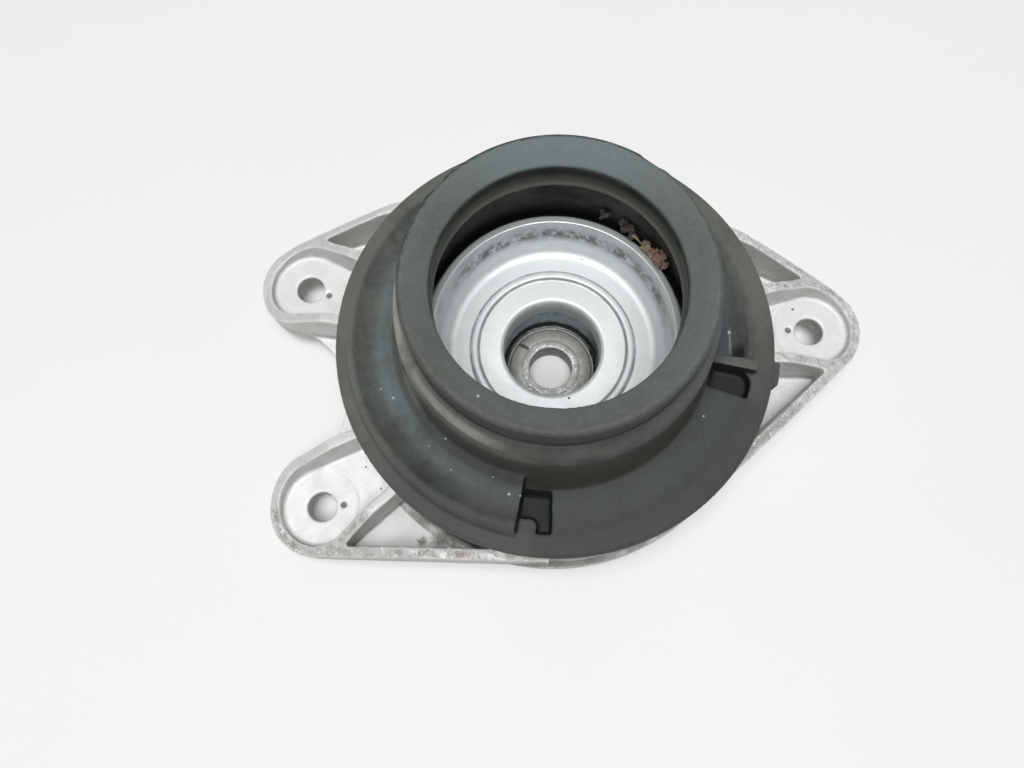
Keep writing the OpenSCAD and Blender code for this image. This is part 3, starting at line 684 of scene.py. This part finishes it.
def makeLeaf(name):
    material, tree, shader = newMaterial(name, Roughness=leafGrain["roughness"])
    mottle = cloud(tree, useGroup(tree, ringGroup).outputs["Place"], *leafGrain["noise"])
    colour = tint(tree, remap(tree, mottle, *leafGrain["share"]), *leafLook[name])
    tree.links.new(colour, shader.inputs["Base Color"])
    bump(tree, shader, mottle, 0.5, 0.3)
    return material


castAluminium = makeCastAluminium()
padRubber = makePadRubber()
zincPlate = makeZincPlate()
coreSteel = makeCoreSteel()
bushRubber = makeBushRubber()
shellSteel = makeShellSteel()
leaves = {name: makeLeaf(name) for name in leafLook}
print("materials ready")


# pieces

def markEdges(mesh, scale):  # edge wear from how sharply the surface turns outwards
    bm = bmesh.new()
    bm.from_mesh(mesh)
    turns = []
    for vert in bm.verts:
        area = sum(face.calc_area() for face in vert.link_faces) / 3
        bend = sum(edge.calc_face_angle_signed(0) * edge.calc_length() for edge in vert.link_edges) / 4
        turns.append(min(max(bend / max(area, 1e-12) * mm / scale, 0.0), 1.0))
    bm.free()
    mesh.attributes.new("edgeWear", "FLOAT", "POINT").data.foreach_set("value", turns)


bracketShape = {"voxel": 0.45, "softFactor": 0.5, "softPasses": 2, "keepShare": 0.22, "wearScale": 0.6,
                "holes": [(81.3, 12.8), (81.3, 167.2), (81.3, 218.4)], "holeReach": 4.8, "holeTrim": 0.2}


def tightenHoles(bm):  # rounding widens the drilled holes a little, so they start a little tighter
    s = bracketShape
    for far, angle in s["holes"]:
        middle = millimetres(far * math.cos(math.radians(angle)), far * math.sin(math.radians(angle)), 0)
        for vert in bm.verts:
            away = Vector((vert.co.x - middle.x, vert.co.y - middle.y, 0))
            if away.length < s["holeReach"] * mm:
                vert.co -= away.normalized() * s["holeTrim"] * mm


def makeBracket():
    mesh = roundedCopy("castBracket", "bracket", bracketShape, tightenHoles)
    markEdges(mesh, bracketShape["wearScale"])
    return addPiece("castBracket", mesh, castAluminium, ["bracket"])


padShape = {"voxel": 0.4, "softFactor": 0.5, "softPasses": 4, "keepShare": 0.25}

# stretches of the lip's edge that are torn: angle, half width and depth
tearShape = {"stretches": [(148.0, 26.0, 1.2), (52.0, 15.0, 0.7), (300.0, 60.0, 0.12)], "fromRadius": 35.4,
             "toRadius": 36.9, "fromHeight": 72.0, "toHeight": 74.0, "grain": 0.24, "bias": 0.1,
             "fineTimes": 3, "fineShare": 0.25, "endSoft": 0.6, "sink": 0.4}


def tearLip(mesh):
    s = tearShape
    for vert in mesh.vertices:
        radius, height, angle = ringPlace(vert.co)
        if radius < s["fromRadius"] or height < s["fromHeight"]:
            continue
        near = smoothStep(s["fromRadius"], s["toRadius"], radius)
        near *= smoothStep(s["fromHeight"], s["toHeight"], height)
        bite = max(noise.noise(vert.co * (s["grain"] / mm)) + s["bias"], 0.0)
        bite += s["fineShare"] * max(noise.noise(vert.co * (s["fineTimes"] * s["grain"] / mm)), 0.0)
        loss = 0.0
        for middle, half, depth in s["stretches"]:
            loss = max(loss, depth * smoothStep(half, half * s["endSoft"], abs(angleGap(angle, middle))))
        gone = loss * near * bite
        shrink = 1 - gone / radius
        vert.co = Vector((vert.co.x * shrink, vert.co.y * shrink, vert.co.z - s["sink"] * gone * mm))


def makePad():
    mesh = roundedCopy("springPad", "spring_pad", padShape)
    tearLip(mesh)
    return addPiece("springPad", mesh, padRubber, ["spring_pad"])


cupShape = {
    "sheet": 1.6, "rimRadius": 35.3, "rimHeight": 41.5, "lipWidth": 2.4, "edgeRound": 0.6, "draft": 1.4,
    "floorHeight": 28.0, "fillet": 3.6, "beadOut": 24.1, "beadWidth": 3.1, "beadHeight": 0.9,
    "holeRadius": 14.15, "neckBend": 1.3, "neckDepth": 8.0, "holdGap": 0.2, "steps": 192,
    "beadSteps": 12, "beadFlanks": (0.34, 0.66), "edgeArc": (-20, 90, 6), "lipArc": (90, 174, 8),
    "floorArc": (6, -90, 14), "neckArc": (90, 180, 10),
}


def makeCup():
    s = cupShape
    wallTop = s["rimRadius"] - s["lipWidth"]
    wallLow = wallTop - s["draft"]
    edge, fillet, bend = s["edgeRound"], s["fillet"], s["neckBend"]
    roundZ = s["rimHeight"] - edge
    floor, hold = s["floorHeight"], s["holdGap"]
    path = arcPoints((s["rimRadius"] - edge, roundZ), edge, *s["edgeArc"])
    path += arcPoints((wallTop + edge, roundZ), edge, *s["lipArc"])
    path += arcPoints((wallLow - fillet, floor + fillet), fillet, *s["floorArc"])
    path += [(wallLow - fillet - hold, floor), (s["beadOut"] + hold, floor)]  # these keep the floor flat
    rise, fall = s["beadFlanks"]
    for i in range(s["beadSteps"] + 1):  # pressed bead with soft flanks
        share = i / s["beadSteps"]
        lift = min(smoothStep(0, rise, share), smoothStep(1, fall, share))
        path.append((s["beadOut"] - s["beadWidth"] * share, floor + s["beadHeight"] * lift))
    path += [(s["beadOut"] - s["beadWidth"] - hold, floor), (s["holeRadius"] + bend + hold, floor)]
    path += arcPoints((s["holeRadius"] + bend, floor - bend), bend, *s["neckArc"])
    path.append((s["holeRadius"], floor - s["neckDepth"]))
    bm = bmesh.new()
    spinProfile(bm, path, s["steps"], False)
    if sum(face.normal.z for face in bm.faces) < 0:
        bmesh.ops.reverse_faces(bm, faces=bm.faces)
    bmesh.ops.solidify(bm, geom=bm.faces[:], thickness=s["sheet"] * mm)
    bmesh.ops.recalc_face_normals(bm, faces=bm.faces)
    return finishPiece("bumpStopCup", bm, zincPlate, ["bump_stop_cup"])


coreShape = {"outer": 13.5, "hole": 6.75, "height": 8.3, "seatWidth": 2.2, "seatHeight": 0.4, "chamfer": 0.35,
             "seatRun": 1.1, "seatSteps": 6, "grooveAt": 12.85, "grooveWidth": 0.7, "grooveDepth": 0.55,
             "edgeBreak": 0.1, "chamferKnee": 0.3, "steps": 128}


def makeCore():
    s = coreShape
    cut, face, top = s["chamfer"], s["height"] - s["seatHeight"], s["height"]
    seat = s["hole"] + s["seatWidth"]
    half, tip = s["grooveWidth"] / 2, s["edgeBreak"]
    profile = [(s["hole"], cut), (s["hole"] + cut, 0), (s["outer"] - cut, 0), (s["outer"], cut)]
    profile += [(s["outer"], face - tip), (s["outer"] - tip, face)]
    profile += [(s["grooveAt"] + half, face), (s["grooveAt"], face - s["grooveDepth"])]
    profile.append((s["grooveAt"] - half, face))
    for i in range(s["seatSteps"] + 1):  # seat runs out softly into the face
        share = i / s["seatSteps"]
        profile.append((seat + s["seatRun"] * (0.5 - share), face + (top - face) * smoothStep(0, 1, share)))
    knee = cut * s["chamferKnee"]
    profile += [(s["hole"] + cut, top), (s["hole"] + knee, top - knee), (s["hole"], top - cut)]
    bm = bmesh.new()
    spinProfile(bm, profile, s["steps"], True)
    return finishPiece("bushCore", bm, coreSteel, ["bush_core"])


bushShape = {"inner": 13.52, "outer": 22.53, "low": 2.62, "faceHeight": 7.6, "ring": 15.0, "ringHeight": 17.6,
             "drop": 0.7, "fillet": 1.2, "filletSteps": 8, "wallSteps": 12, "steps": 180, "margin": 0.2,
             "nearest": 0.25, "wrinkle": 0.22, "wrinkleGrain": 0.9, "clump": 1.1, "clumpGrain": 0.45,
             "clumpBias": 0.35, "clumpAt": 345.0, "clumpHalf": 50.0, "clumpHeight": 12.5, "clumpFade": 2.5}


def makeBush():
    s = bushShape
    fillet, wallLow, wallHigh = s["fillet"], s["faceHeight"] + s["fillet"], s["ringHeight"] - s["fillet"]
    profile = [(s["inner"], s["low"]), (s["outer"], s["low"]), (s["outer"], s["ringHeight"] - s["drop"])]
    profile += arcPoints((s["ring"] + fillet, wallHigh), fillet, 90, 180, s["filletSteps"])
    for i in range(1, s["wallSteps"]):
        profile.append((s["ring"], wallHigh + (wallLow - wallHigh) * i / s["wallSteps"]))
    profile += arcPoints((s["ring"] - fillet, wallLow), fillet, 360, 270, s["filletSteps"])
    profile.append((s["inner"], s["faceHeight"]))
    bm = bmesh.new()
    spinProfile(bm, profile, s["steps"], True)
    for vert in bm.verts:  # wrinkled skin, with a clump of torn rubber on one side
        radius, height, angle = ringPlace(vert.co)
        free = s["inner"] + s["margin"] <= radius <= s["ring"] + fillet and height >= s["faceHeight"]
        if not free:
            continue
        fine = noise.noise(vert.co * (s["wrinkleGrain"] / mm))
        coarse = max(noise.noise(vert.co * (s["clumpGrain"] / mm)) + s["clumpBias"], 0.0)
        side = smoothStep(s["clumpHalf"], s["clumpHalf"] / 2, abs(angleGap(angle, s["clumpAt"])))
        side *= smoothStep(s["clumpHeight"] + s["clumpFade"], s["clumpHeight"], height)
        inward = s["wrinkle"] * (fine + 1) / 2 + s["clump"] * side * coarse
        shrink = max(radius - inward, s["inner"] + s["nearest"]) / radius
        vert.co = Vector((vert.co.x * shrink, vert.co.y * shrink, vert.co.z))
    return finishPiece("bushRubberRing", bm, bushRubber, ["bush_rubber"])


# bits of leaf: name, angle, radius, height, length, width, tilt, turn and material
leafShape = {
    "bits": [("leafPink", 39.6, 35.4, 45.2, 4.6, 3.6, 50.0, 15.0, "pinkLeaf"),
             ("leafTip", 36.6, 35.5, 44.4, 3.2, 2.4, 60.0, -40.0, "pinkLeaf"),
             ("leafFold", 42.5, 35.3, 44.6, 4.2, 2.6, 30.0, 70.0, "pinkLeaf"),
             ("leafStraw", 47.2, 34.9, 44.4, 5.2, 2.4, 30.0, 75.0, "strawLeaf"),
             ("leafGrey", 61.0, 35.5, 45.8, 3.8, 3.8, 62.0, 10.0, "greyLeaf"),
             ("leafScrap", 57.2, 35.4, 44.6, 3.6, 2.2, 55.0, 60.0, "greyLeaf"),
             ("leafDim", 72.0, 35.6, 46.4, 2.8, 2.4, 66.0, -20.0, "greyLeaf"),
             ("leafStem", 53.2, 35.0, 44.4, 8.0, 0.6, 35.0, 82.0, "strawLeaf")],
    "cells": 16, "crumple": 1.6, "crumpleShift": (7, 3, 1), "fullWidth": 3, "sheet": 0.16, "lobe": 0.22,
    "lobes": 3, "grain": 1.9, "tear": 0.6, "tearGrain": 1.7,
}


def makeLeafBit(name, angle, radius, height, length, width, tilt, turn, material):
    s = leafShape
    bm = bmesh.new()
    bmesh.ops.create_grid(bm, x_segments=s["cells"], y_segments=s["cells"], size=1.0)
    for vert in bm.verts:  # square grid drawn in to a lobed, ragged oval, then crumpled
        x, y = vert.co.x, vert.co.y
        u, v = x * math.sqrt(1 - y * y / 2), y * math.sqrt(1 - x * x / 2)
        seed = Vector((u * s["grain"] + angle, v * s["grain"], length))
        ragged = 1 + s["lobe"] * math.cos(s["lobes"] * math.atan2(v, u) + angle)
        ragged += s["tear"] * noise.noise(seed * s["tearGrain"]) * math.hypot(u, v)
        lift = s["crumple"] * noise.noise(seed + Vector(s["crumpleShift"])) * min(width / s["fullWidth"], 1.0)
        vert.co = millimetres(u * ragged * length / 2, v * ragged * width / 2, lift)
    made = bmesh.ops.extrude_face_region(bm, geom=bm.faces[:], use_keep_orig=True)
    raised = [item for item in made["geom"] if isinstance(item, bmesh.types.BMVert)]
    bmesh.ops.translate(bm, verts=raised, vec=(0, 0, s["sheet"] * mm))
    bmesh.ops.recalc_face_normals(bm, faces=bm.faces)
    lie = Matrix.Rotation(math.radians(turn), 4, "Z")
    lean = Matrix.Rotation(math.radians(-tilt), 4, "Y")
    swing = Matrix.Rotation(math.radians(angle), 4, "Z")
    move = Matrix.Translation(millimetres(radius, 0, height))
    bmesh.ops.transform(bm, matrix=swing @ move @ lean @ lie, verts=bm.verts)
    finishPiece(name, bm, leaves[material])


makeBracket()
makePad()
makeCup()
makeCore()
makeBush()
for bit in leafShape["bits"]:
    makeLeafBit(*bit)
cadNodes["bush_shell"].data.materials.clear()
cadNodes["bush_shell"].data.materials.append(shellSteel)


# floor, light and camera

floorShape = {"half": 3.0, "colour": rgb(0.92, 0.92, 0.91), "mottled": rgb(0.89, 0.89, 0.88),
              "roughness": 0.7, "noise": (0.01, 3.0), "share": (0.3, 0.7, 0.0, 0.3), "fade": (0.38, 1.2)}


def seenRays(tree):  # rays that show the background, straight or in a reflection
    rays = place(tree, "ShaderNodeLightPath").outputs
    return highest(tree, rays["Is Camera Ray"], rays["Is Glossy Ray"], rays["Is Transmission Ray"])


def makeFloor():
    s = floorShape
    bm = bmesh.new()
    bmesh.ops.create_grid(bm, x_segments=1, y_segments=1, size=s["half"])
    mesh = bpy.data.meshes.new("floor")
    bm.to_mesh(mesh)
    bm.free()
    material, tree, shader = newMaterial("paleFloor", Roughness=s["roughness"])
    mottle = cloud(tree, useGroup(tree, ringGroup).outputs["Place"], *s["noise"])
    colour = tint(tree, remap(tree, mottle, *s["share"]), s["colour"], s["mottled"])
    tree.links.new(colour, shader.inputs["Base Color"])
    # far from the object the floor fades into the pale background
    spot = place(tree, "ShaderNodeTexCoord").outputs["Object"]
    away = place(tree, "ShaderNodeVectorMath", {"operation": "LENGTH"}, {0: spot}).outputs["Value"]
    far = product(tree, remap(tree, away, *s["fade"]), seenRays(tree))
    sky = {"Color": lightSetup["skyColour"], "Strength": lightSetup["seenStrength"]}
    glow = place(tree, "ShaderNodeEmission", None, sky).outputs[0]
    blend = place(tree, "ShaderNodeMixShader", None, {0: far, 1: shader.outputs[0], 2: glow})
    tree.links.new(blend.outputs[0], tree.nodes["Material Output"].inputs["Surface"])
    mesh.materials.append(material)
    floor = bpy.data.objects.new("floor", mesh)
    scene.collection.objects.link(floor)


lightSetup = {"place": (-0.02, -0.32, 1.7), "aim": (0, 0, 0.03), "size": (0.95, 0.9), "power": 23.5,
              "skyColour": rgb(0.97, 0.985, 1.0), "skyStrength": 0.26, "seenStrength": 0.85}


def makeLight():
    s = lightSetup
    lamp = bpy.data.lights.new("softBox", "AREA")
    lamp.shape = "RECTANGLE"
    lamp.size, lamp.size_y = s["size"]
    lamp.energy = s["power"]
    holder = bpy.data.objects.new("softBox", lamp)
    holder.location = s["place"]
    holder.rotation_euler = (Vector(s["aim"]) - Vector(s["place"])).to_track_quat("-Z", "Y").to_euler()
    scene.collection.objects.link(holder)
    world = bpy.data.worlds.new("studio")
    world.use_nodes = True
    tree = world.node_tree
    sky = tree.nodes["Background"]
    sky.inputs["Color"].default_value = s["skyColour"]
    strength = remap(tree, seenRays(tree), 0.0, 1.0, s["skyStrength"], s["seenStrength"])
    tree.links.new(strength, sky.inputs["Strength"])  # background looks paler than it shines
    scene.world = world


cameraSetup = {"imageWidth": 1024, "focalPixels": 740, "sensor": 36.0, "place": (0, -70.03, 231.77),
               "aim": (-9.95, -15.48, 40.0), "roll": -4.84, "nearest": 5.0}


def makeCamera():
    s = cameraSetup
    lens = bpy.data.cameras.new("camera")
    lens.sensor_fit = "HORIZONTAL"
    lens.sensor_width = s["sensor"]
    lens.lens = s["sensor"] * s["focalPixels"] / s["imageWidth"]
    lens.clip_start = s["nearest"] * mm
    camera = bpy.data.objects.new("camera", lens)
    stand, aim = millimetres(*s["place"]), millimetres(*s["aim"])
    turn = (aim - stand).to_track_quat("-Z", "Y").to_matrix().to_4x4()
    roll = Matrix.Rotation(math.radians(s["roll"]), 4, "Z")
    camera.matrix_world = Matrix.Translation(stand) @ turn @ roll
    scene.collection.objects.link(camera)
    scene.camera = camera


makeFloor()
makeLight()
makeCamera()
scene.view_settings.view_transform = "Standard"
print("stage ready")

bpy.context.view_layer.update()
